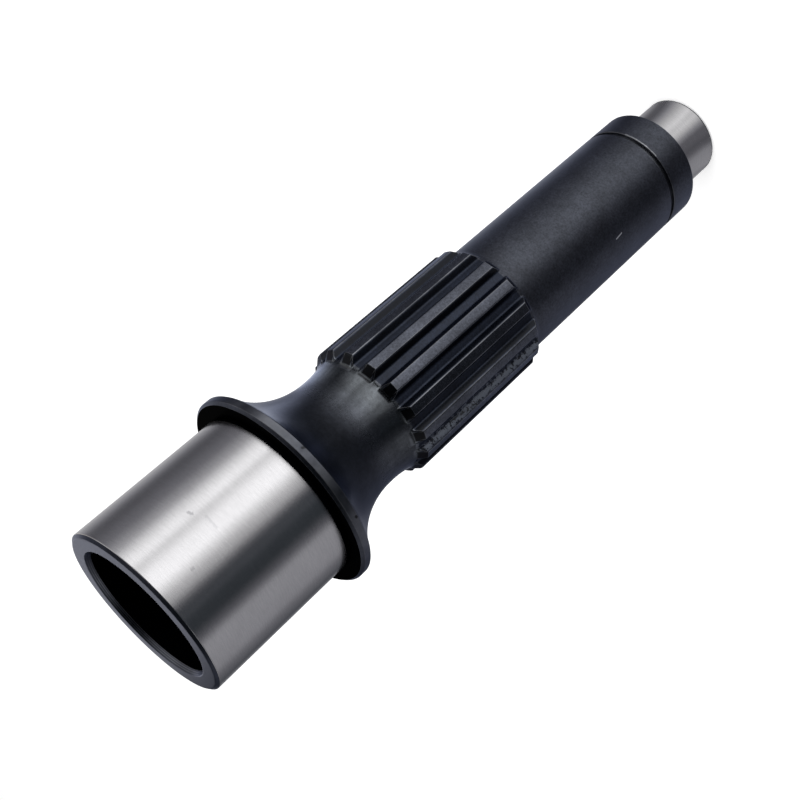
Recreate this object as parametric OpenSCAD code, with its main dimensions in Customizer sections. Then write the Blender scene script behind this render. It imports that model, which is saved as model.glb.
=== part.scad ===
// Hollow-ended splined pump drive shaft, turned from one bar. Millimetres, +Z up.
// It stands on its small ground journal with the open mouth up. The origin is the
// centre of the small end's face, and the shaft turns about Z.

/* [Mouth journal] */
// Diameter of the ground bearing seat round the mouth
mouth_d = 50; // [44:0.5:56]
// Length of the ground seat, from the mouth face to the relief groove
mouth_len = 43.75; // [30:0.25:70]
// Radial size of the chamfer on the mouth's outer edge
mouth_chamfer_r = 0.95; // [0.3:0.05:2]
// Axial size of the chamfer on the mouth's outer edge
mouth_chamfer_z = 0.7; // [0.3:0.05:2]
// Diameter of the plain bore in the mouth
bore_d = 38.6; // [24:0.1:40]
// Depth of the bore, from the mouth face to its flat floor
bore_depth = 44.5; // [20:0.5:46]
// Radius where the bore's wall meets its floor
bore_corner_r = 1.2; // [0.4:0.1:3]
// Radial size of the lead-in bevel at the bore's edge
bevel_r = 0.65; // [0.2:0.05:1.5]
// Axial size of the lead-in bevel at the bore's edge
bevel_z = 1.35; // [0.4:0.05:3]

/* [Flange] */
// Diameter of the thrust flange behind the ground seat
flange_d = 59.3; // [57:0.1:70]
// Width of the cylindrical band on the flange's rim
rim_w = 2; // [1:0.1:8]
// Bevel between the flange's front face and its rim
flange_bevel = 0.75; // [0.2:0.05:1]
// Chamfer on the rim's rear edge, where the neck begins
rim_rear_chamfer = 0.4; // [0.1:0.05:1]
// Width of the grinding relief groove at the flange's front face
relief_w = 1; // [0.6:0.1:2]
// Depth of the relief groove below the ground seat
relief_depth = 0.4; // [0.1:0.05:1]

/* [Neck] */
// Depth of the neck's waist below the tooth floors
waist_drop = 1; // [0.5:0.1:5]
// Straight length of the waist between the two flared ends
waist_len = 1.15; // [0:0.05:30]
// Radius of the concave flare at both ends of the neck
flare_r = 26.5; // [20:0.5:34]

/* [Spline] */
// Number of teeth
teeth = 16; // [14:1:18]
// Pressure angle of the teeth, in degrees
pressure_angle = 30; // [25:0.5:30]
// Height of the tooth floors above the long seat
floor_rise = 0.4; // [0.3:0.05:1]
// Height from the tooth floors to the pitch circle
dedendum = 1.2; // [1:0.05:1.6]
// Height from the pitch circle to the tooth tips
addendum = 0.95; // [0.6:0.05:1.2]
// Height above the floor at which the root fillet ends and the involute begins
fillet_h = 0.4; // [0.2:0.05:0.6]
// Length of the full-height teeth, between their end chamfers
spline_len = 47.5; // [20:0.1:80]
// How far the end chamfers run in below the tooth floors
chamfer_drop = 0.15; // [0.05:0.05:0.25]

/* [Body] */
// Diameter of the long cylindrical seat behind the spline
body_d = 36; // [30:0.1:42]
// Radius of the fillet that runs out from the tooth floors onto the seat
runout_r = 5; // [1:0.5:10]
// Length of the seat, from the run-out fillet to the retaining ring groove
seat_len = 66.2; // [30:0.1:120]
// Width of the retaining ring groove
ring_groove_w = 1.7; // [1.1:0.05:2.65]
// Depth of the retaining ring groove below the seat
ring_groove_depth = 1; // [0.5:0.1:2]
// Length of the collar between the retaining ring groove and the small journal
collar_len = 10.6; // [4:0.05:30]
// Rounding of the collar's outer edge
collar_edge_r = 0.35; // [0.2:0.05:1.5]

/* [Small journal] */
// Diameter of the small ground journal
end_d = 26.7; // [20:0.1:30]
// Length of the small ground journal, without its end chamfer
end_len = 18.2; // [8:0.1:40]
// Chamfer on the small journal's end
end_chamfer = 0.8; // [0.3:0.1:2]
// Fillet in the corner between the small journal and the collar
shoulder_r = 0.6; // [0.2:0.1:1.5]
// Mouth diameter of the centre hole in the small end's face
centre_d = 8.5; // [4:0.5:12]
// Pilot diameter of the centre hole
centre_pilot_d = 4; // [2:0.5:5]
// Depth of the centre hole's pilot below its cone
centre_pilot_len = 4.5; // [2:0.5:10]

/* [Hidden] */
$fn = 180;
steel_dark = "#3b3f48";
steel_ground = "#b9bbbd";
flank_steps = 6;   // points along each involute flank
fillet_steps = 4;  // points round each root fillet
lap = 1;           // how far cutters reach past the faces that they cut

mouth_r = mouth_d/2;
bore_r = bore_d/2;
flange_r = flange_d/2;
body_r = body_d/2;
end_r = end_d/2;
root_r = body_r + floor_rise;
foot_r = root_r - chamfer_drop;
pitch_r = root_r + dedendum;
tip_r = pitch_r + addendum;
waist_r = root_r - waist_drop;
groove_r = body_r - ring_groove_depth;

// Half the axial run of a concave arc of radius flare_r, from its lowest point at the
// waist out to where it has risen to the radius r.
function flare_run(r) = sqrt(pow(flare_r, 2) - pow(flare_r + waist_r - r, 2));
// The same for a fillet of radius f that rises by h from the surface it is tangent to.
function fillet_run(f, h) = sqrt(2*f*h - h*h);

// Stations along the axis, from the small end up to the mouth.
z_collar = end_chamfer + end_len;
z_groove = z_collar + collar_len;
z_seat = z_groove + ring_groove_w;
z_runout = z_seat + seat_len;
z_foot_low = z_runout + fillet_run(runout_r, foot_r - body_r);
z_tip_low = z_foot_low + tip_r - foot_r;
z_tip_high = z_tip_low + spline_len;
z_foot_high = z_tip_high + tip_r - foot_r;
z_waist_low = z_foot_high + flare_run(foot_r);
z_waist_high = z_waist_low + waist_len;
z_rim_rear = z_waist_high + flare_run(flange_r - rim_rear_chamfer);
z_rim_low = z_rim_rear + rim_rear_chamfer;
z_rim_high = z_rim_low + rim_w;
z_flange = z_rim_high + flange_bevel;
z_relief = z_flange + relief_w;
z_mouth = z_relief + mouth_len;

// Involute geometry of the teeth. Angles are in degrees.
base_r = pitch_r*cos(pressure_angle);
function inv(a) = tan(a)*180/PI - a;
function roll(r) = acos(min(1, base_r/r));
// Half the angle of a tooth space at the radius r; at the pitch circle, tooth and space
// are equally wide.
function space_half(r) = 90/teeth + inv(roll(r)) - inv(pressure_angle);
function at(r, a) = [r*sin(a), r*cos(a)];
// The root fillet is tangent to the flank at form_r and to the floor circle.
form_r = root_r + fillet_h;
root_fillet = (pow(form_r, 2) - pow(root_r, 2))/(2*(root_r - form_r*sin(roll(form_r))));
fillet_c = at(form_r, space_half(form_r))
    + root_fillet*[-cos(roll(form_r) + space_half(form_r)), sin(roll(form_r) + space_half(form_r))];
fillet_a0 = atan2(-fillet_c[0], -fillet_c[1]);
fillet_a1 = atan2(at(form_r, space_half(form_r))[0] - fillet_c[0],
                  at(form_r, space_half(form_r))[1] - fillet_c[1]);
// Right-hand side of one tooth space, from the middle of its floor out past the tips.
space_side = concat(
    [at(root_r, atan2(fillet_c[0], fillet_c[1])/2)],
    [for (i = [0:fillet_steps])
        let (a = fillet_a0 + (fillet_a1 + (fillet_a1 > 0 ? -360 : 0) - fillet_a0)*i/fillet_steps)
        fillet_c + root_fillet*[sin(a), cos(a)]],
    [for (i = [1:flank_steps])
        let (r = form_r + (tip_r + lap/2 - form_r)*i/flank_steps) at(r, space_half(r))]);

// A band of the turned profile between two radii and two stations.
module band(r0, r1, z0, z1) {
    translate([r0, z0]) square([r1 - r0, z1 - z0]);
}

// The mouth end: ground seat, chamfer and relief groove, still solid inside.
module mouth_profile() {
    band(0, mouth_r - relief_depth, z_flange - lap, z_relief + lap);
    polygon([[0, z_relief], [mouth_r, z_relief], [mouth_r, z_mouth - mouth_chamfer_z],
             [mouth_r - mouth_chamfer_r, z_mouth], [0, z_mouth]]);
}

// The thrust flange: a plain band with a bevel in front and a small chamfer behind.
module flange_profile() {
    polygon([[0, z_rim_rear], [flange_r - rim_rear_chamfer, z_rim_rear], [flange_r, z_rim_low],
             [flange_r, z_rim_high], [flange_r - flange_bevel, z_flange], [0, z_flange]]);
}

// The neck, waisted by a round flare at each end.
module neck_profile() {
    difference() {
        polygon([[0, z_foot_high - lap], [root_r, z_foot_high - lap],
                 [root_r, z_waist_low], [flange_r - rim_rear_chamfer, z_waist_high],
                 [flange_r - rim_rear_chamfer, z_rim_low], [0, z_rim_low]]);
        translate([waist_r + flare_r, z_waist_low]) circle(flare_r);
        translate([waist_r + flare_r, z_waist_high]) circle(flare_r);
        band(waist_r, flange_r, z_waist_low, z_waist_high);
    }
}

// The spline's blank at tip diameter, with the run-out fillet onto the seat. The end
// chamfers run on inside the blank until they meet the flare and the fillet.
module spline_profile() {
    polygon([[0, z_foot_low - lap], [foot_r - lap, z_foot_low - lap], [tip_r, z_tip_low],
             [tip_r, z_tip_high], [foot_r - lap, z_foot_high + lap], [0, z_foot_high + lap]]);
    difference() {
        band(0, root_r, z_runout, z_foot_low + lap);
        translate([body_r + runout_r, z_runout]) circle(runout_r);
    }
}

// The long seat, the retaining ring groove and the collar with its rounded edge.
module body_profile() {
    band(0, body_r, z_seat, z_runout + lap);
    band(0, groove_r, z_groove - lap, z_seat + lap);
    band(0, body_r, z_collar + collar_edge_r, z_groove);
    band(0, body_r - collar_edge_r, z_collar, z_groove);
    translate([body_r - collar_edge_r, z_collar + collar_edge_r]) circle(collar_edge_r);
}

// The small journal with its end chamfer and the fillet under the collar.
module end_profile() {
    polygon([[0, 0], [end_r - end_chamfer, 0], [end_r, end_chamfer], [end_r, z_collar + lap],
             [0, z_collar + lap]]);
    difference() {
        band(end_r - lap, end_r + shoulder_r, z_collar - shoulder_r, z_collar + lap);
        translate([end_r + shoulder_r, z_collar - shoulder_r]) circle(shoulder_r);
    }
}

// The bore from the mouth, with its lead-in bevel and rounded floor corner.
module bore_profile() {
    floor_z = z_mouth - bore_depth;
    band(0, bore_r, floor_z + bore_corner_r, z_mouth + lap);
    band(0, bore_r - bore_corner_r, floor_z, z_mouth);
    translate([bore_r - bore_corner_r, floor_z + bore_corner_r]) circle(bore_corner_r);
    polygon([[0, z_mouth - bevel_z], [bore_r, z_mouth - bevel_z], [bore_r + bevel_r, z_mouth],
             [bore_r + bevel_r, z_mouth + lap], [0, z_mouth + lap]]);
}

// The 60 degree centre hole in the small end.
module centre_profile() {
    cone_len = (centre_d - centre_pilot_d)/2/tan(30);
    polygon([[0, -lap], [centre_d/2, -lap], [centre_d/2, 0], [centre_pilot_d/2, cone_len],
             [centre_pilot_d/2, cone_len + centre_pilot_len], [0, cone_len + centre_pilot_len]]);
}

// The whole shaft as it comes off the lathe, before the teeth are cut.
module turned_blank() {
    rotate_extrude() {
        difference() {
            union() {
                mouth_profile();
                flange_profile();
                neck_profile();
                spline_profile();
                body_profile();
                end_profile();
            }
            bore_profile();
            centre_profile();
        }
    }
}

// One hobbed tooth space. It runs from the waist to the seat, where the shaft is slimmer
// than the tooth floors, so it leaves both ends open.
module tooth_space() {
    translate([0, 0, z_runout - lap])
        linear_extrude(z_waist_low - z_runout + lap)
            polygon(concat(space_side,
                [for (i = [len(space_side) - 1:-1:0]) [-space_side[i][0], space_side[i][1]]]));
}

// The finished shaft: one solid.
module pump_shaft() {
    color(steel_dark)
        difference() {
            turned_blank();
            for (i = [0:teeth - 1])
                rotate([0, 0, (i + 0.5)*360/teeth]) tooth_space();
        }
}

pump_shaft();
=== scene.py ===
import bpy
from math import acos, atan2, cos, degrees, pi, radians, remainder, sin, tan
from mathutils import Euler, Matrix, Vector


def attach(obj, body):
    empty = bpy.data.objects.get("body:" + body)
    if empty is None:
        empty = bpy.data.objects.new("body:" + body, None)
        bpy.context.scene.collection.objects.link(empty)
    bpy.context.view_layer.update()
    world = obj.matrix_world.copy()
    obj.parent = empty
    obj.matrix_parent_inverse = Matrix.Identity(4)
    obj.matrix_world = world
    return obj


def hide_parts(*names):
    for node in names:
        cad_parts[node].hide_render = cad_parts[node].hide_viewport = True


# Splined drive shaft of a gear pump, standing on its small journal with the open mouth up, as
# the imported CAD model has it. Sizes are millimetres, and heights are measured from the small
# end's face. The meshes, and the sizes in the materials and the studio, are metres.
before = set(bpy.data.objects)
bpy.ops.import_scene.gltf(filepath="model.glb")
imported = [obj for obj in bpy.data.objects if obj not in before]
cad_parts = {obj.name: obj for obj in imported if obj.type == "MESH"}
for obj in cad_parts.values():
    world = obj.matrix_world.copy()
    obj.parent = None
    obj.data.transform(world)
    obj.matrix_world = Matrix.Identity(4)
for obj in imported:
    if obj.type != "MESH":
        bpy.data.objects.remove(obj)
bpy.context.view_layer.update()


# ------------------------------------------------------------------ turned shape
# The shaft is turned from one bar of alloy steel: bored mouth, thrust flange, waisted neck,
# long seat, ring groove and small journal. This is the lathe's contour, walked from the
# centre hole in the small end up the outside, over the mouth and down the bore.
centre_r, pilot_r, cone_z, pilot_z = 4.25, 2.0, 3.8971, 8.3971      # centre hole
end_r, end_chamfer, shoulder = 13.35, 0.8, 0.6                      # small journal
collar_z, collar_edge = 19.0, 0.35
groove_r, groove_z, seat_z = 17.0, 29.6, 31.3                       # retaining ring groove
body_r, foot_r, runout_r, runout_z = 18.0, 18.25, 5.0, 97.5         # long seat, up to the teeth
waist_r, flare_r, waist_low, waist_high = 17.4, 26.5, 157.8191, 158.9691       # neck
flange_r, rim_low, rim_high, flange_z = 29.65, 181.4514, 183.4514, 184.2014    # thrust flange
rim_chamfer, flange_bevel = 0.4, 0.75
relief_r, relief_z = 24.6, 185.2014                                 # groove below the big journal
mouth_r, mouth_z, mouth_chamfer_r, mouth_chamfer_z = 25.0, 228.9514, 0.95, 0.7
bore_r, bore_z, bore_corner = 19.3, 184.4514, 1.2
bevel_r, bevel_z = 0.65, 1.35                                       # lead-in of the bore
faint, small, clear, prised = 0.1, 0.12, 0.15, 0.3                  # broken edges, by how far
edge_share = 0.3        # an edge takes no more than this share of the face beside it
support = 2.5           # a support line lies this many edges away from the corner

BLACK, GROUND = 0, 1


def turned(finish, *points):
    # contour points of one finish: (r, z), or (r, z, broken edge) at a corner
    return [(*point[:2], point[2] if len(point) > 2 else 0, finish) for point in points]


def arc(middle_r, middle_z, radius, start, stop, steps):
    # points on a turned fillet or flare, from one angle to the other (degrees, from +r to +z)
    turns = [radians(start + (stop - start) * i / steps) for i in range(steps + 1)]
    return turned(BLACK, *[(middle_r + radius * cos(a), middle_z + radius * sin(a)) for a in turns])


def rounded(start, corner, stop):
    # four points round a broken edge, each with whether it lies on the edge or at its end
    return [(start * (1 - s) ** 2 + corner * 2 * s * (1 - s) + stop * s * s, 0 < s < 1)
            for s in (0, 1 / 3, 2 / 3, 1)]


def broken(contour):
    # every marked corner gets the small broken edge of a turned part, 3 steps round it, and
    # a support line on each side, so that the light catches the edge and the faces stay flat
    rows = []
    for i, (r, z, edge, finish) in enumerate(contour):
        if not edge:
            rows.append((r, z, 0.0, finish))
            continue
        corner = Vector((r, z))
        back, on = Vector(contour[i - 1][:2]) - corner, Vector(contour[i + 1][:2]) - corner
        finish_before = contour[i - 1][3]
        bare = GROUND in (finish_before, finish)
        edge = min(edge, edge_share * back.length, edge_share * on.length)
        start, stop = corner + back.normalized() * edge, corner + on.normalized() * edge
        if back.length > 2 * support * edge:
            rows.append((*(corner + back.normalized() * support * edge), 0.0, finish_before))
        for k, (p, on_edge) in enumerate(rounded(start, corner, stop)):
            rubbed = 0.0 if bare else 1.0 if on_edge else 0.35
            rows.append((*p, rubbed, finish_before if k < 3 else finish))
        if on.length > 2 * support * edge:
            rows.append((*(corner + on.normalized() * support * edge), 0.0, finish))
    return rows


flare_top = degrees(acos((flare_r + waist_r - (flange_r - rim_chamfer)) / flare_r))
flare_foot = degrees(acos((flare_r + waist_r - foot_r) / flare_r))
runout_top = degrees(acos((body_r + runout_r - foot_r) / runout_r))

below_teeth = broken(
    turned(BLACK, (pilot_r * 0.6, pilot_z), (pilot_r, pilot_z), (pilot_r, cone_z, faint),
           (centre_r, 0, clear), ((centre_r + end_r) / 2, 0),
           (end_r - end_chamfer, 0, clear), (end_r, end_chamfer, small))
    + turned(GROUND, *[(end_r, z) for z in (end_chamfer + 0.3, 5, 9.5, 14)])
    + arc(end_r + shoulder, collar_z - shoulder, shoulder, 180, 90, 4)
    + turned(BLACK, (body_r - collar_edge - 0.4, collar_z))
    + arc(body_r - collar_edge, collar_z + collar_edge, collar_edge, -90, 0, 5)
    + turned(BLACK, (body_r, collar_z + 1), (body_r, 24.5), (body_r, groove_z, prised),
             (groove_r, groove_z), (groove_r, (groove_z + seat_z) / 2), (groove_r, seat_z),
             (body_r, seat_z, small),
             *[(body_r, seat_z + (runout_z - seat_z) * k / 8) for k in range(1, 8)],
             (body_r, runout_z - 0.6))
    + arc(body_r + runout_r, runout_z, runout_r, 180, 180 - runout_top, 4))

above_teeth = broken(
    arc(waist_r + flare_r, waist_low, flare_r, 180 + flare_foot, 180, 5)
    + arc(waist_r + flare_r, waist_high, flare_r, 180, 180 - flare_top, 18)
    + turned(BLACK, (flange_r, rim_low, faint), (flange_r, rim_high, clear),
             (flange_r - flange_bevel, flange_z, small), ((flange_r + relief_r) / 2, flange_z),
             (relief_r, flange_z), (relief_r, (flange_z + relief_z) / 2), (relief_r, relief_z))
    + turned(GROUND, (mouth_r, relief_z, small),
             *[(mouth_r, relief_z + (mouth_z - relief_z) * k / 8) for k in range(1, 8)])
    + turned(BLACK, (mouth_r, mouth_z - mouth_chamfer_z, small),
             (mouth_r - mouth_chamfer_r, mouth_z, clear),
             ((mouth_r + bore_r + bevel_r) / 2, mouth_z),
             (bore_r + bevel_r, mouth_z, small),
             (bore_r + bevel_r * 2 / 3, mouth_z - bevel_z / 3, faint),
             (bore_r + bevel_r / 3, mouth_z - bevel_z * 2 / 3, faint),
             (bore_r, mouth_z - bevel_z, small),
             *[(bore_r, mouth_z - deep) for deep in (6, 14, 24, 34)])
    + arc(bore_r - bore_corner, bore_z + bore_corner, bore_corner, 0, -90, 5)
    + turned(BLACK, (12, bore_z), (5, bore_z)))


# ------------------------------------------------------------------ splined length
# Sixteen 30 degree involute teeth are hobbed into the blank after turning, with a round
# root fillet, and the turned 45 degree chamfers cut across both of their ends. One pitch is
# drawn here, from the middle of one tooth floor to the next.
teeth = 16
tip_r, pitch_r, root_r = 20.55, 19.6, 18.4
foot_low, foot_high = 99.0612, 151.1612         # where the chamfers start
fillet_top, tip_edge = 18.8, 0.2
run_out = 1.2                                   # how far the floors take to run out
pressure = radians(30)
base_r = pitch_r * cos(pressure)


def space_half(r):
    # half the angle of the tooth space at radius r, in degrees
    a = acos(base_r / r)
    return 90 / teeth + degrees(tan(a) - a) - degrees(tan(pressure) - pressure)


def across(r, angle):
    # a point of the tooth's section, from its radius and its angle from the tooth's middle
    return Vector((r * cos(radians(angle)), r * sin(radians(angle))))


# half a tooth and half a floor, as points with the wear on each: land, tip edge and flank.
# The angles and radii written here only say where the mesh has its rows.
half = 180 / teeth
tip_angle = half - space_half(tip_r)
land_end = across(tip_r, tip_angle - degrees(tip_edge / tip_r))
flank_top = across(tip_r - tip_edge, half - space_half(tip_r - tip_edge))
side = [(across(tip_r, angle), 0.0) for angle in (0, 1.8, tip_angle - 1.15)]
side += [(p, 1.0 if on_edge else 0.4)
         for p, on_edge in rounded(land_end, across(tip_r, tip_angle), flank_top)]
side += [(across(r, half - space_half(r)), 0.0) for r in (20.05, 19.7, 19.25, fillet_top)]
# the root fillet is tangent to the flank at fillet_top and to the floor circle; its angles
# here are measured from the middle of the floor
lean = acos(base_r / fillet_top)
top_angle = radians(space_half(fillet_top))
root_fillet = (fillet_top ** 2 - root_r ** 2) / (2 * (root_r - fillet_top * sin(lean)))
top = fillet_top * Vector((sin(top_angle), cos(top_angle)))
middle = top + root_fillet * Vector((-cos(lean + top_angle), sin(lean + top_angle)))
stop = atan2(-middle[0], -middle[1])
sweep = remainder(atan2(top[0] - middle[0], top[1] - middle[1]) - stop, 2 * pi)
for share in (2 / 3, 1 / 3, 0):
    p = middle + root_fillet * Vector((sin(stop + sweep * share), cos(stop + sweep * share)))
    side.append((across(p.length, half - degrees(atan2(p[0], p[1]))), 0.0))
floor_end = degrees(atan2(side[-1][0][1], side[-1][0][0]))
side += [(across(root_r, floor_end + (half - floor_end) * share), 0.0) for share in (0.2, 0.6, 1)]
columns = [(Vector((p[0], -p[1])), w) for p, w in reversed(side[1:])] + side


def tooth_line(line_r):
    # one line along the teeth at a radius: up the low chamfer, along, and down the high one.
    # The floors stand so little above the neck and seat that they run out gently instead.
    rise = line_r - foot_r
    run = max(rise, run_out - rise)
    edge = min(tip_edge, 0.4 * rise)
    is_floor = rise < 0.5
    up = [(foot_r + 0.15 * rise, foot_low + 0.15 * run, 0.0)]
    corner = Vector((line_r, foot_low + run))
    chamfer_end = corner - edge * Vector((rise, run)).normalized()
    for p, on_edge in rounded(chamfer_end, corner, corner + Vector((0, edge))):
        up.append((*p, 0.0 if is_floor else 1.0 if on_edge else 0.4))
    low = corner[1] + support * edge
    up.append((line_r, low, 0.0))
    high = foot_low + foot_high - low
    between = [(line_r, low + (high - low) * k / 6, 0.0) for k in range(1, 6)]
    down = [(r, foot_low + foot_high - z, w) for r, z, w in reversed(up)]
    return up + between + down


# the grid of one pitch: a row each, below, along and above the teeth
grid, worn, finishes = [], [], []


def add_turned_rows(rows):
    for r, z, w, finish in rows:
        grid.append([(r, z)] * len(columns))
        worn.append([w] * len(columns))
        finishes.append(finish)


add_turned_rows(below_teeth)
lines = [tooth_line(min(max(p.length, root_r), tip_r)) for p, w in columns]
first_tooth_row, tooth_rows = len(grid), len(lines[0])
for k in range(tooth_rows):
    grid.append([line[k][:2] for line in lines])
    worn.append([max(line[k][2], w if 0 < k < tooth_rows - 1 else 0)
                 for line, (p, w) in zip(lines, columns)])
    finishes.append(BLACK)
last_tooth_row = len(grid) - 1
add_turned_rows(above_teeth)
mouth_row = max(range(len(grid)), key=lambda i: grid[i][0][1])

# painted shade: how much darker each place is painted for the shade it sits in, between the teeth,
# on the tooth ends, down the bore and behind the mouth; the lands, rubbed by hands and cloths, go
# below zero and come out lighter
OPEN, LAND, FLOOR, FLANK, TOOTH_END, DEEP_SHADE = 0.0, -0.35, 0.71, 1.0, 1.12, 1.5


def shade_and_rub_at(i, r, z):
    down_the_bore = i > mouth_row and r < bore_r + 0.01
    behind_mouth = (i < mouth_row and r < flange_r - flange_bevel + 0.02
                    and flange_z - 0.1 < z < relief_z + 0.05)
    at_tooth_end = min(abs(i - first_tooth_row), abs(i - last_tooth_row)) < 2
    if down_the_bore or behind_mouth:
        return DEEP_SHADE
    if first_tooth_row <= i <= last_tooth_row and at_tooth_end and r > foot_r + 0.3:
        return TOOTH_END
    if foot_low + 1 < z < foot_high - 1 and r < tip_r - 0.25:
        return FLANK if r > root_r + 0.3 else FLOOR
    return LAND if foot_low < z < foot_high and r > tip_r - 0.01 else OPEN


def wear_at(r, z, w):
    # the flange's rim is rubbed all over, and the ring has scraped its groove
    if r > flange_r - 0.05:
        return max(w, 0.75)
    return 1.0 if r < body_r - 0.3 and groove_z - 0.5 < z < seat_z + 0.5 else w


verts, wear, shade_and_rub = [(0, 0, pilot_z / 1000)], [0.0], [FLANK]
angles = [atan2(p[1], p[0]) for p, w in columns]
for i, (row, worn_row) in enumerate(zip(grid, worn)):
    for a, (r, z), w in zip(angles, row, worn_row):
        verts.append((r * cos(a) / 1000, r * sin(a) / 1000, z / 1000))
        wear.append(wear_at(r, z, w))
        shade_and_rub.append(shade_and_rub_at(i, r, z))
verts.append((0, 0, bore_z / 1000))
wear.append(0.0)
shade_and_rub.append(DEEP_SHADE)

# a fan at the bottom of the centre hole, the rows, and a fan at the middle of the bore's floor
n, pole = len(columns), len(verts) - 1
faces = [(0, a + 1, a) for a in range(1, n)]
ground = [False] * (n - 1)
for i in range(len(grid) - 1):
    start = 1 + i * n
    faces += [(a, a + 1, a + n + 1, a + n) for a in range(start, start + n - 1)]
    ground += [finishes[i] == GROUND] * (n - 1)
faces += [(a, a + 1, pole) for a in range(pole - n, pole - 1)]
ground += [False] * (n - 1)
one_pitch = bpy.data.meshes.new("one_tooth_pitch")
one_pitch.from_pydata(verts, [], faces)
one_pitch.attributes.new("edge_wear", "FLOAT", "POINT").data.foreach_set("value", wear)
one_pitch.attributes.new("painted_shade_and_rub", "FLOAT", "POINT").data.foreach_set("value", shade_and_rub)
one_pitch.attributes.new("ground", "BOOLEAN", "FACE").data.foreach_set("value", ground)


# ------------------------------------------------------------------ finishes
# The two skins of the shaft. It is blackened all over after machining, and then the two
# bearing journals are ground, which takes the black off them and leaves bare bright steel.
def hexa(text):
    # an sRGB hex colour as the linear value that Blender wants
    c = [int(text[i:i + 2], 16) / 255 for i in (1, 3, 5)]
    return tuple(v / 12.92 if v <= 0.04045 else ((v + 0.055) / 1.055) ** 2.4 for v in c) + (1.0,)


def node(tree, kind, links=None, **settings):
    # adds a node; links gives its inputs, as another node's output or as a value
    made = tree.nodes.new(kind)
    for key, value in settings.items():
        setattr(made, key, value)
    for key, value in (links or {}).items():
        socket = made.inputs[key]
        if isinstance(value, bpy.types.NodeSocket):
            tree.links.new(value, socket)
        else:
            socket.default_value = value
    return made


def new_material(name):
    made = bpy.data.materials.new(name)
    made.use_nodes = True
    made.node_tree.nodes.clear()
    return made


def marked(tree, place, torn, colour, mark):
    # a mark on a colour, along a line between two points (millimetres). It has its whole
    # strength up to two thirds of its width from the line and none at rim times its width,
    # and torn, a noise round 0, makes its edge ragged.
    begin, end, width, rim, ragged, mark_colour, strength = mark
    span = Vector(end) - Vector(begin)
    from_begin = node(tree, "ShaderNodeVectorMath", {0: place, 1: [-v / 1000 for v in begin]},
                      operation="ADD").outputs[0]
    along = node(tree, "ShaderNodeVectorMath",
                 {0: from_begin, 1: span / span.length_squared * 1000}, operation="DOT_PRODUCT")
    held = node(tree, "ShaderNodeClamp", {"Value": along.outputs["Value"]})
    nearest = node(tree, "ShaderNodeVectorMath", {0: span / 1000, "Scale": held.outputs[0]},
                   operation="SCALE")
    gap = node(tree, "ShaderNodeVectorMath", {0: from_begin, 1: nearest.outputs[0]},
               operation="DISTANCE")
    gap = node(tree, "ShaderNodeMath", {0: torn, 1: ragged / 1000, 2: gap.outputs["Value"]},
               operation="MULTIPLY_ADD")
    mask = node(tree, "ShaderNodeMapRange",
                {"Value": gap.outputs[0], "From Min": width / 1500, "From Max": width * rim / 1000,
                 "To Min": strength, "To Max": 0.0})
    return node(tree, "ShaderNodeMix",
                {"Factor": mask.outputs[0], 6: colour, 7: hexa(mark_colour)},
                data_type="RGBA").outputs[2]


# nearly all of a noise texture's values lie between these two
noise = {"From Min": 0.3, "From Max": 0.7}

# Black oxide on turned steel: a hot caustic bath turns the skin to blue-black magnetite, and
# oil seals it. A dark metal under a thin clear coat: satin, with a fine mottled grain, faint
# lathe lines, and bare steel showing through where edges have been rubbed.
oxide = new_material("black_oxide_steel")
t = oxide.node_tree
place = node(t, "ShaderNodeTexCoord").outputs["Object"]
height = node(t, "ShaderNodeSeparateXYZ", {0: place}).outputs["Z"]
rubbed = node(t, "ShaderNodeAttribute", attribute_name="edge_wear").outputs["Fac"]
painted_shade_and_rub = node(t, "ShaderNodeAttribute", attribute_name="painted_shade_and_rub").outputs["Fac"]
# grain 0.6 mm across, drawn three times as coarse as the etched skin so that it shows
grain = node(t, "ShaderNodeTexNoise",
             {"Vector": place, "Scale": 1600, "Detail": 4, "Roughness": 0.65}).outputs["Fac"]
# clouds 9 mm across, where the bath took unevenly
cloud = node(t, "ShaderNodeTexNoise",
             {"Vector": place, "Scale": 110, "Detail": 3, "Roughness": 0.55}).outputs["Fac"]
# blotches 1.5 mm across, where oil dried in the pores
speckle = node(t, "ShaderNodeTexNoise",
               {"Vector": place, "Scale": 680, "Detail": 3, "Roughness": 0.6}).outputs["Fac"]
# lathe lines: the coordinate is squeezed along the shaft, so the noise runs in rings 0.3 mm
# apart, about as coarse as a finishing cut
squeeze = node(t, "ShaderNodeVectorMath", {0: place, 1: (60, 60, 3200)}, operation="MULTIPLY")
lathe = node(t, "ShaderNodeTexNoise",
             {"Vector": squeeze.outputs[0], "Scale": 1.0, "Detail": 3, "Roughness": 0.6})
# polishing strokes about 1.4 mm wide and 9 mm long, along the neck
squeeze = node(t, "ShaderNodeVectorMath", {0: place, 1: (700, 700, 110)}, operation="MULTIPLY")
strokes = node(t, "ShaderNodeTexNoise",
               {"Vector": squeeze.outputs[0], "Scale": 1.0, "Detail": 2, "Roughness": 0.5})
# the grain is strongest below the neck, and weaker from the teeth's upper end on
above_teeth_end = {"Value": height, "From Min": 0.1495, "From Max": 0.151}
tone = node(t, "ShaderNodeMapRange", {"Value": grain, **noise, "To Min": 0.6, "To Max": 1.4})
weaker = node(t, "ShaderNodeMapRange", {**above_teeth_end, "To Max": 0.6})
tone = node(t, "ShaderNodeMix", {"Factor": weaker.outputs[0], 2: tone.outputs[0], 3: 1.0},
            data_type="FLOAT")
clouded = node(t, "ShaderNodeMapRange", {"Value": cloud, **noise, "To Min": 0.8, "To Max": 1.2})
blotched = node(t, "ShaderNodeMapRange",
                {"Value": speckle, **noise, "To Min": 0.85, "To Max": 1.15})
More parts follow.
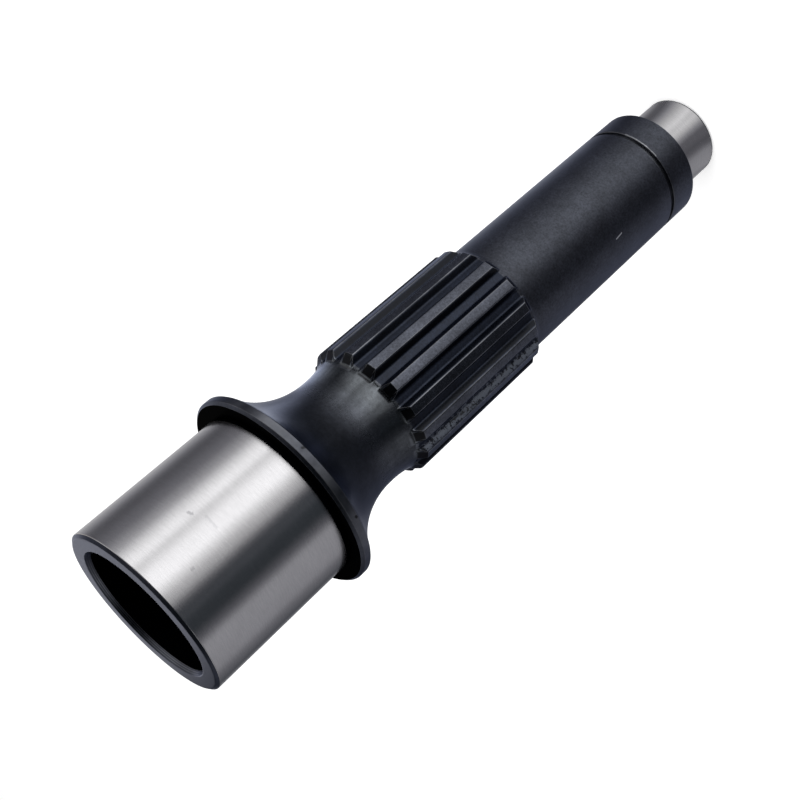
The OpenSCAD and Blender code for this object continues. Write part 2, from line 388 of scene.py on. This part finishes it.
# painted shade: between the teeth, on the tooth ends, down the bore and behind the mouth the colour
# is painted darker, down to near black, and the rubbed lands a little lighter
shade = node(t, "ShaderNodeMath", {0: painted_shade_and_rub, 1: -0.9, 2: 1.0}, operation="MULTIPLY_ADD")
shade = node(t, "ShaderNodeMath", {0: shade.outputs[0], 1: 0.03}, operation="MAXIMUM")
# the waist of the neck is burnished by handling, most of all next to the teeth
near_teeth = node(t, "ShaderNodeMapRange",
                  {"Value": height, "From Min": 0.166, "From Max": 0.155, "To Max": 0.9})
past_teeth = node(t, "ShaderNodeMapRange", above_teeth_end)
polish = node(t, "ShaderNodeMath", {0: near_teeth.outputs[0], 1: past_teeth.outputs[0]},
              operation="MULTIPLY").outputs[0]
stroked = node(t, "ShaderNodeMapRange",
               {"Value": strokes.outputs["Fac"], **noise, "To Min": 0.65, "To Max": 1.55})
polished = node(t, "ShaderNodeMath", {0: polish, 1: stroked.outputs[0], 2: 1.0},
                operation="MULTIPLY_ADD")
for factor in (clouded, blotched, shade, polished):
    tone = node(t, "ShaderNodeMath", {0: tone.outputs[0], 1: factor.outputs[0]},
                operation="MULTIPLY")
# painted shade: between the teeth and down the bore the colour is tinted blue, as shade in a white
# studio is, and where the neck is polished it is greyer
hue = node(t, "ShaderNodeMix", {"Factor": painted_shade_and_rub, 6: hexa("#464952"), 7: hexa("#3d4a66")},
           data_type="RGBA")
hue = node(t, "ShaderNodeMix", {"Factor": polish, 6: hue.outputs[2], 7: hexa("#474a4d")},
           data_type="RGBA")
skin = node(t, "ShaderNodeVectorMath", {0: hue.outputs[2], "Scale": tone.outputs[0]},
            operation="SCALE")
# rubbed edges: the wear is broken up by the clouds
rub = node(t, "ShaderNodeMath", {0: rubbed, 1: cloud}, operation="MULTIPLY")
rub = node(t, "ShaderNodeMapRange",
           {"Value": rub.outputs[0], "From Min": 0.2, "From Max": 0.65, "To Max": 0.75})
colour = node(t, "ShaderNodeMix",
              {"Factor": rub.outputs[0], 6: skin.outputs[0], 7: hexa("#8b8d92")},
              data_type="RGBA").outputs[2]
# small marks, each with its two ends, width, rim, raggedness, colour and strength
torn = node(t, "ShaderNodeMath", {0: speckle, 1: grain}, operation="ADD")
torn = node(t, "ShaderNodeMath", {0: torn.outputs[0], 1: -1.0}, operation="ADD").outputs[0]
lip_highlight = [(10.49, -14.44, 29.5), (7.26, -16.31, 29.5), (3.71, -17.46, 29.5), (-0.31, -17.85, 29.5)]
for mark in (
        # a bright scratch on the long seat
        ((-10.82, -14.38, 59.06), (-10.53, -14.6, 56.34), 0.22, 1.25, 0.1, "#e8eaee", 1.0),
        # a dark spot and a chip on the flange's rim
        ((-17.46, -23.96, 181.82), (-17.3, -24.1, 181.9), 0.4, 1.25, 0.1, "#08080a", 0.9),
        ((3.06, -29.49, 181.5), (3.3, -29.46, 182.0), 0.35, 1.25, 0.2, "#1a1b1e", 0.9),
        # the rubbed and scuffed driving flank of one tooth
        ((-17.1, -9.25, 148.0), (-17.35, -9.22, 102.0), 1.0, 1.25, 5.0, "#8f96a4", 0.62),
        ((-16.6, -9.28, 138.0), (-17.7, -9.2, 127.0), 0.22, 1.25, 3.0, "#07080a", 0.85),
        # a painted highlight on the lip of the ring groove, over the part of its round that faces
        # the light
        (lip_highlight[0], lip_highlight[1], 0.4, 1.25, 0.4, "#b4b6bb", 0.7),
        (lip_highlight[1], lip_highlight[2], 0.4, 1.25, 0.4, "#b4b6bb", 0.8),
        (lip_highlight[2], lip_highlight[3], 0.4, 1.25, 0.4, "#b4b6bb", 0.6),
        # a tick on the small journal's chamfer
        ((7.6, -10.98, 0.6), (7.4, -11.1, 1.2), 0.3, 1.25, 0.1, "#050506", 1.0)):
    colour = marked(t, place, torn, colour, mark)
# the long seat, below the teeth, was left rougher than the neck; the polished waist is smoother,
# and the skin where shade is painted is matt
rough = node(t, "ShaderNodeMapRange", {"Value": grain, **noise, "To Min": 0.28, "To Max": 0.36})
seat_rough = node(t, "ShaderNodeMapRange", {"Value": height, "From Min": 0.097,
                                            "From Max": 0.104, "To Min": 0.07, "To Max": 0.0})
rough = node(t, "ShaderNodeMath", {0: rough.outputs[0], 1: seat_rough.outputs[0]},
             operation="ADD")
rough = node(t, "ShaderNodeMath", {0: polish, 1: -0.16, 2: rough.outputs[0]},
             operation="MULTIPLY_ADD")
rough = node(t, "ShaderNodeMath", {0: painted_shade_and_rub, 1: 0.2, 2: rough.outputs[0]},
             operation="MULTIPLY_ADD")
# the grain and the lathe lines are 0.03 mm deep
lathe_lines = node(t, "ShaderNodeMath", {0: lathe.outputs["Fac"], 1: 0.6}, operation="MULTIPLY")
relief = node(t, "ShaderNodeMath", {0: grain, 1: lathe_lines.outputs[0]}, operation="ADD")
bump = node(t, "ShaderNodeBump",
            {"Height": relief.outputs[0], "Strength": 0.35, "Distance": 0.00003})
# painted deep shade: down the bore and behind the mouth the clear oil coat thins to almost nothing
# and the metal's edge tint goes near black, so these places mirror almost no light
deep_shade = node(t, "ShaderNodeMapRange", {"Value": painted_shade_and_rub, "From Min": 1.0, "From Max": 1.5})
oil_thinned_in_painted_shade = node(t, "ShaderNodeMapRange", {"Value": deep_shade.outputs[0], "To Min": 0.4, "To Max": 0.02})
glance = node(t, "ShaderNodeMix",
              {"Factor": deep_shade.outputs[0], 6: hexa("#c9d2ee"), 7: hexa("#050608")},
              data_type="RGBA")
shader = node(t, "ShaderNodeBsdfPrincipled",
              {"Base Color": colour, "Metallic": 1.0, "Roughness": rough.outputs[0],
               "Normal": bump.outputs[0], "Specular Tint": glance.outputs[2],
               "Coat Weight": oil_thinned_in_painted_shade.outputs[0], "Coat Roughness": 0.3, "Coat IOR": 1.5})
node(t, "ShaderNodeOutputMaterial", {"Surface": shader.outputs[0]})

# Cylindrically ground steel: the two bearing journals, bright after the blackened skin is
# ground away. The wheel leaves fine short lines round the shaft, which stretch every
# reflection along it, so tall soft bands of light and dark run down the journals.
steel = new_material("cylindrically_ground_steel")
t = steel.node_tree
place = node(t, "ShaderNodeTexCoord").outputs["Object"]
height = node(t, "ShaderNodeSeparateXYZ", {0: place}).outputs["Z"]
# grinding lines 0.25 mm apart and 3 mm long, far coarser than the wheel's grit so that they
# show
squeeze = node(t, "ShaderNodeVectorMath", {0: place, 1: (330, 330, 4000)}, operation="MULTIPLY")
ground_lines = node(t, "ShaderNodeTexNoise", {"Vector": squeeze.outputs[0], "Scale": 1.0,
                                              "Detail": 3, "Roughness": 0.6}).outputs["Fac"]
# pits 0.4 mm across, coarser than real ones too, and patches 11 mm across dulled by fingers
speck = node(t, "ShaderNodeTexNoise",
             {"Vector": place, "Scale": 2400, "Detail": 3, "Roughness": 0.6}).outputs["Fac"]
handled = node(t, "ShaderNodeTexNoise",
               {"Vector": place, "Scale": 90, "Detail": 3, "Roughness": 0.5}).outputs["Fac"]
tone = node(t, "ShaderNodeMapRange",
            {"Value": ground_lines, **noise, "To Min": 0.95, "To Max": 1.04})
dulled = node(t, "ShaderNodeMapRange", {"Value": handled, **noise, "To Min": 0.96, "To Max": 1.03})
# the small journal is a shade darker than the big one
small_end = node(t, "ShaderNodeMapRange",
                 {"Value": height, "From Min": 0.019, "From Max": 0.02, "To Min": 0.95})
for factor in (dulled, small_end):
    tone = node(t, "ShaderNodeMath", {0: tone.outputs[0], 1: factor.outputs[0]},
                operation="MULTIPLY")
colour = node(t, "ShaderNodeVectorMath", {0: hexa("#d2d1d3")[:3], "Scale": tone.outputs[0]},
              operation="SCALE").outputs[0]
# handling marks on the big journal: two small smears and a faint line
torn = node(t, "ShaderNodeMath", {0: speck, 1: -0.5}, operation="ADD").outputs[0]
for mark in (
        ((9.7, -23.04, 210.45), (9.05, -23.3, 210.2), 0.4, 1 / 0.7, 1.2, "#77787c", 0.45),
        ((-0.61, -24.99, 219.4), (-0.6, -24.99, 219.0), 0.35, 1 / 0.7, 1.2, "#8f9094", 0.35),
        ((6.32, -24.19, 208.41), (2.73, -24.85, 208.74), 0.3, 1 / 0.7, 1.2, "#a5a6aa", 0.3)):
    colour = marked(t, place, torn, colour, mark)
rough = node(t, "ShaderNodeMapRange", {"Value": speck, **noise, "To Min": 0.18, "To Max": 0.24})
# the lines and pits are 0.02 mm deep
relief = node(t, "ShaderNodeMath", {0: speck, 1: ground_lines}, operation="ADD")
bump = node(t, "ShaderNodeBump",
            {"Height": relief.outputs[0], "Strength": 0.25, "Distance": 0.00002})
round_shaft = node(t, "ShaderNodeTangent", direction_type="RADIAL", axis="Z")
shader = node(t, "ShaderNodeBsdfPrincipled",
              {"Base Color": colour, "Metallic": 1.0, "Roughness": rough.outputs[0],
               "Normal": bump.outputs[0], "Anisotropic": 0.6, "Anisotropic Rotation": 0.25,
               "Tangent": round_shaft.outputs[0]})
node(t, "ShaderNodeOutputMaterial", {"Surface": shader.outputs[0]})


# ------------------------------------------------------------------ the shaft
# One solid piece of alloy steel. The pitch is repeated round the axis by Geometry Nodes and
# joined into one closed skin, which gets its two finishes: black oxide all over, ground
# bright on the two bearing journals.
def placed(name, data):
    obj = bpy.data.objects.new(name, data)
    bpy.context.scene.collection.objects.link(obj)
    return obj


tree = bpy.data.node_groups.new("teeth_round_the_shaft", "GeometryNodeTree")
tree.interface.new_socket("Geometry", in_out="INPUT", socket_type="NodeSocketGeometry")
teeth_in = tree.interface.new_socket("Teeth", in_out="INPUT", socket_type="NodeSocketInt")
weld_in = tree.interface.new_socket("Weld distance", in_out="INPUT",
                                    socket_type="NodeSocketFloat")
tree.interface.new_socket("Geometry", in_out="OUTPUT", socket_type="NodeSocketGeometry")
given = node(tree, "NodeGroupInput")
spots = node(tree, "GeometryNodePoints", {"Count": given.outputs["Teeth"], "Position": (0, 0, 0)})
number = node(tree, "GeometryNodeInputIndex")
step = node(tree, "ShaderNodeMath", {0: 2 * pi, 1: given.outputs["Teeth"]}, operation="DIVIDE")
turn = node(tree, "ShaderNodeMath", {0: number.outputs[0], 1: step.outputs[0]},
            operation="MULTIPLY")
spin = node(tree, "ShaderNodeCombineXYZ", {"Z": turn.outputs[0]})
repeated = node(tree, "GeometryNodeInstanceOnPoints",
                {"Points": spots.outputs[0], "Instance": given.outputs[0],
                 "Rotation": spin.outputs[0]})
real = node(tree, "GeometryNodeRealizeInstances", {"Geometry": repeated.outputs[0]})
weld = node(tree, "GeometryNodeMergeByDistance",
            {"Geometry": real.outputs[0], "Distance": given.outputs["Weld distance"]})
blacked = node(tree, "GeometryNodeSetMaterial", {"Geometry": weld.outputs[0], "Material": oxide})
journals = node(tree, "GeometryNodeInputNamedAttribute", {"Name": "ground"}, data_type="BOOLEAN")
bright = node(tree, "GeometryNodeSetMaterial",
              {"Geometry": blacked.outputs[0], "Selection": journals.outputs[0],
               "Material": steel})
node(tree, "NodeGroupOutput", {0: bright.outputs[0]})

pitch = placed("one_pitch", one_pitch)
modifier = pitch.modifiers.new("teeth", "NODES")
modifier.node_group = tree
modifier[teeth_in.identifier] = teeth
modifier[weld_in.identifier] = 2e-6
graph = bpy.context.evaluated_depsgraph_get()
skin = bpy.data.meshes.new_from_object(pitch.evaluated_get(graph), depsgraph=graph)
bpy.data.objects.remove(pitch)
skin.name = "splined_pump_shaft"
skin.shade_smooth()
skin.set_sharp_from_angle(angle=radians(36))
shaft = placed("splined_pump_shaft", skin)
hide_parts("pump_shaft")
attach(shaft, "root")


# ------------------------------------------------------------------ floor and light
# A plain white studio floor and an even white surround, which the camera sees as white. Two
# weak softboxes light the floor and give the shaft its faint shadow there.
def looked_at(tree):
    # 1 where the camera sees the surface, straight or in metal or glass
    path = node(tree, "ShaderNodeLightPath")
    seen = path.outputs["Is Camera Ray"]
    for ray in ("Is Glossy Ray", "Is Transmission Ray"):
        seen = node(tree, "ShaderNodeMath", {0: seen, 1: path.outputs[ray]},
                    operation="MAXIMUM").outputs[0]
    return seen


floor_mesh = bpy.data.meshes.new("studio_floor")
floor_mesh.from_pydata([(-6, -6, 0), (6, -6, 0), (6, 6, 0), (-6, 6, 0)], [], [(0, 1, 2, 3)])
floor = placed("studio_floor", floor_mesh)
white = new_material("white_floor")
t = white.node_tree
lift = node(t, "ShaderNodeMath", {0: looked_at(t), 1: 0.35}, operation="MULTIPLY")
glow = node(t, "ShaderNodeEmission", {"Color": (1, 1, 1, 1), "Strength": lift.outputs[0]})
paint = node(t, "ShaderNodeBsdfDiffuse", {"Color": hexa("#f0f0f0")})
both = node(t, "ShaderNodeAddShader", {0: glow.outputs[0], 1: paint.outputs[0]})
node(t, "ShaderNodeOutputMaterial", {"Surface": both.outputs[0]})
floor_mesh.materials.append(white)

world = bpy.data.worlds.new("studio")
bpy.context.scene.world = world
world.use_nodes = True
t = world.node_tree
t.nodes.clear()
level = node(t, "ShaderNodeMath", {0: looked_at(t), 1: 0.15, 2: 0.85}, operation="MULTIPLY_ADD")
sky = node(t, "ShaderNodeBackground", {"Color": (1, 1, 1, 1), "Strength": level.outputs[0]})
node(t, "ShaderNodeOutputWorld", {"Surface": sky.outputs[0]})


def softbox(name, azimuth, elevation, distance, size, power):
    # a square softbox aimed at the shaft's middle; azimuth is from -Y towards +X, in degrees
    lamp = bpy.data.lights.new(name, "AREA")
    lamp.shape, lamp.size, lamp.size_y, lamp.energy = "RECTANGLE", size, size, power
    obj = placed(name, lamp)
    a, e = radians(azimuth), radians(elevation)
    away = Vector((sin(a) * cos(e), -cos(a) * cos(e), sin(e)))
    obj.location = Vector((0, 0, 0.12)) + away * distance
    obj.rotation_euler = away.to_track_quat("Z", "Y").to_euler()
    obj.visible_camera = obj.visible_glossy = False


softbox("key_softbox", 40, 50, 1.1, 0.7, 5)
softbox("fill_softbox", -80, 45, 1.2, 0.8, 3)

# What the bright steel mirrors: a tent of white, grey and black cards round the shaft, seen in its
# reflections alone. It is a funnel that rises from the small journal's foot, a wall and a roof,
# with a ring card round the upper end of the teeth and a dark card at the foot, painted shade for
# the floor under it.
# Angles are degrees round Z from the camera's side, positive towards the camera's right.
camera_side = radians(-92.2)
ring = 96               # steps round a card
brightest = 1.5


def card(name, profile, material):
    # a card turned round Z from its profile (r, z) in metres
    turns = [2 * pi * k / ring for k in range(ring)]
    verts = [(r * cos(a), r * sin(a), z) for r, z in profile for a in turns]
    faces = [(i + k, i + (k + 1) % ring, i + ring + (k + 1) % ring, i + ring + k)
             for i in range(0, ring * (len(profile) - 1), ring) for k in range(ring)]
    mesh = bpy.data.meshes.new(name)
    mesh.from_pydata(verts, [], faces)
    mesh.materials.append(material)
    obj = placed(name, mesh)
    obj.visible_camera = obj.visible_diffuse = obj.visible_shadow = obj.visible_transmission = False


def levels_round(tree, angle, levels, tint=(1, 1, 1)):
    # how bright a card is round the shaft, as a ramp through (degrees, level); dark cards lean
    # to blue-green, as cloth in the shade of a white studio does
    share = node(tree, "ShaderNodeMapRange", {"Value": angle, "From Min": -pi, "From Max": pi})
    ramp = node(tree, "ShaderNodeValToRGB", {"Fac": share.outputs[0]})
    band = ramp.color_ramp
    band.interpolation = "LINEAR"
    band.elements.remove(band.elements[-1])
    for k, (deg, level) in enumerate(levels):
        stop = band.elements[0] if k == 0 else band.elements.new((deg + 180) / 360)
        stop.position = (deg + 180) / 360
        value = level / brightest
        dark = max(0, 1 - level / 0.1)
        dim = max(0, 1 - level / 0.6)
        stop.color = (value * tint[0], value * (1 + 0.25 * dark) * tint[1],
                      value * (1 + 0.14 * dim + 0.33 * dark) * tint[2], 1)
    return ramp.outputs["Color"]


def round_camera_side(tree):
    # Object coordinates turned so that X points to the camera's side, and the angle from there
    turned_place = node(tree, "ShaderNodeVectorRotate",
                        {"Vector": node(tree, "ShaderNodeTexCoord").outputs["Object"],
                         "Angle": -camera_side}, rotation_type="Z_AXIS").outputs[0]
    axes = node(tree, "ShaderNodeSeparateXYZ", {0: turned_place})
    angle = node(tree, "ShaderNodeMath", {0: axes.outputs["Y"], 1: axes.outputs["X"]},
                 operation="ARCTAN2")
    return turned_place, axes.outputs["Z"], angle.outputs[0]


cards = new_material("reflection_cards")
t = cards.node_tree
place, height, angle = round_camera_side(t)
flat = node(t, "ShaderNodeVectorMath", {0: place, 1: (1, 1, 0)}, operation="MULTIPLY")
far = node(t, "ShaderNodeVectorMath", {0: flat.outputs[0]}, operation="LENGTH").outputs["Value"]
# close to the shaft a card is met sooner, so the bands there are drawn narrower
closer = node(t, "ShaderNodeMath", {0: 0.0095, 1: far}, operation="DIVIDE")
wider = node(t, "ShaderNodeMath", {0: closer.outputs[0], 1: 1.0}, operation="ADD")
angle = node(t, "ShaderNodeMath", {0: angle, 1: wider.outputs[0]}, operation="MULTIPLY").outputs[0]
# the funnel's card nearest to the shaft
glow = levels_round(t, angle, [
    (-180, .5), (-150, .22), (-125, .33), (-100, .33), (-80, .3), (-62, .14), (-50, .11),
    (-36, .14), (-22, .15), (-10, .33), (3, .67), (12, .84), (22, .78), (35, .95), (47, .78),
    (60, .58), (74, .38), (86, .22), (100, .12), (118, .13), (135, .24), (150, .35), (180, .45)])
# and the cards that take over from it: by distance from the axis on the funnel, then by
# height on the wall, with the distance or height at which each starts and is whole
for reach, starts, whole, tint, levels in (
        # the funnel's middle
        (far, 0.03, 0.045, (1, 1, 1), [
            (-180, .5), (-163, .28), (-150, .13), (-130, .3), (-100, .33), (-80, .27), (-62, .12),
            (-50, .08), (-32, .1), (-20, .17), (-8, .38), (3, .75), (14, .95), (28, 1.05),
            (45, .75), (60, .5), (74, .34), (88, .2), (105, .17), (120, .28), (135, .52),
            (150, .68), (165, .75), (180, .7)]),
        # the funnel's outer part
        (far, 0.09, 0.2, (1, 1, 1), [
            (-180, .45), (-163, .2), (-150, .07), (-125, .18), (-112, .3), (-95, .33), (-72, .36),
            (-62, .12), (-50, .03), (-36, .04), (-30, .07), (-24, .05), (-18, .11), (-8, .55),
            (0, .72), (6, 1.1), (14, 1.5), (28, 1.4), (41, .9), (50, 1.4), (60, 1.1), (74, .45),
            (90, .2), (104, .14), (116, .1), (126, .13), (136, .25), (147, .38), (165, .55)]),
        # the foot of the wall, in a warmer grey
        (height, 0.22, 0.34, (1.05, 1.0, 0.93), [
            (-180, .9), (-178, .6), (-176, .15), (-173, .03), (-165, .02), (-155, .08),
            (-125, .15), (-100, .08), (-60, .04), (30, .04), (60, .25), (120, .5), (165, .8),
            (176, .95), (180, .85)]),
        # the rest of the wall
        (height, 0.48, 0.62, (1, 1, 1), [
            (-180, .03), (-160, .05), (-130, .4), (-60, .5), (-40, .05), (-20, 0), (14, 0),
            (30, .1), (50, .6), (90, .8), (120, .4), (150, .1), (180, .03)]),
        # the roof
        (height, 0.97, 1.02, (1, 1, 1), [
            (-180, .06), (-120, .03), (-70, .02), (20, .03), (50, .12), (110, .2), (150, .16),
            (180, .08)])):
    share = node(t, "ShaderNodeMapRange", {"Value": reach, "From Min": starts, "From Max": whole})
    glow = node(t, "ShaderNodeMix",
                {"Factor": share.outputs[0], 6: glow, 7: levels_round(t, angle, levels, tint)},
                data_type="RGBA").outputs[2]
light = node(t, "ShaderNodeEmission", {"Color": glow, "Strength": brightest})
node(t, "ShaderNodeOutputMaterial", {"Surface": light.outputs[0]})
card("card_tent", [(0.0138, 0.0004), (0.9, 0.30), (0.95, 0.95), (0.5, 1.2), (0.02, 1.25)], cards)

# round the upper end of the teeth, for the neck: dark towards the camera, white behind
ring_card = new_material("neck_card")
t = ring_card.node_tree
glow = levels_round(t, round_camera_side(t)[2], [
    (-180, .2), (-120, .16), (-90, .12), (-70, .12), (-40, .08), (-20, .05), (0, .03), (70, .05),
    (84, .4), (100, 1.0), (137, 1.2), (180, .4)])
light = node(t, "ShaderNodeEmission", {"Color": glow, "Strength": brightest})
node(t, "ShaderNodeOutputMaterial", {"Surface": light.outputs[0]})
card("neck_card", [(0.0215, 0.150), (0.033, 0.150)], ring_card)

# painted shade: round the foot of the small journal, a dark grey card that its chamfer mirrors,
# standing in for the shaded floor under the foot
foot = new_material("foot_shade_card")
t = foot.node_tree
light = node(t, "ShaderNodeEmission", {"Color": hexa("#17181b")})
node(t, "ShaderNodeOutputMaterial", {"Surface": light.outputs[0]})
card("foot_shade_card", [(0.0005, 0.0003), (0.0138, 0.0003)], foot)


# ------------------------------------------------------------------ camera
# The photograph's viewing angle: from 30 degrees above the shaft's middle and rolled, so
# that the mouth points to the lower left. The small shift gives the photograph's framing.
lens = bpy.data.cameras.new("photo_camera")
lens.sensor_width = 36
lens.lens = 55.869
lens.shift_x, lens.shift_y = -0.1395, 0.0374
lens.dof.use_dof = False
camera = placed("photo_camera", lens)
camera.location = (-0.01173, -0.3054, 0.29073)
camera.rotation_euler = Euler([radians(v) for v in (-51.6434, 38.5527, -150.2929)])
bpy.context.scene.camera = camera
bpy.context.scene.view_settings.view_transform = "Standard"
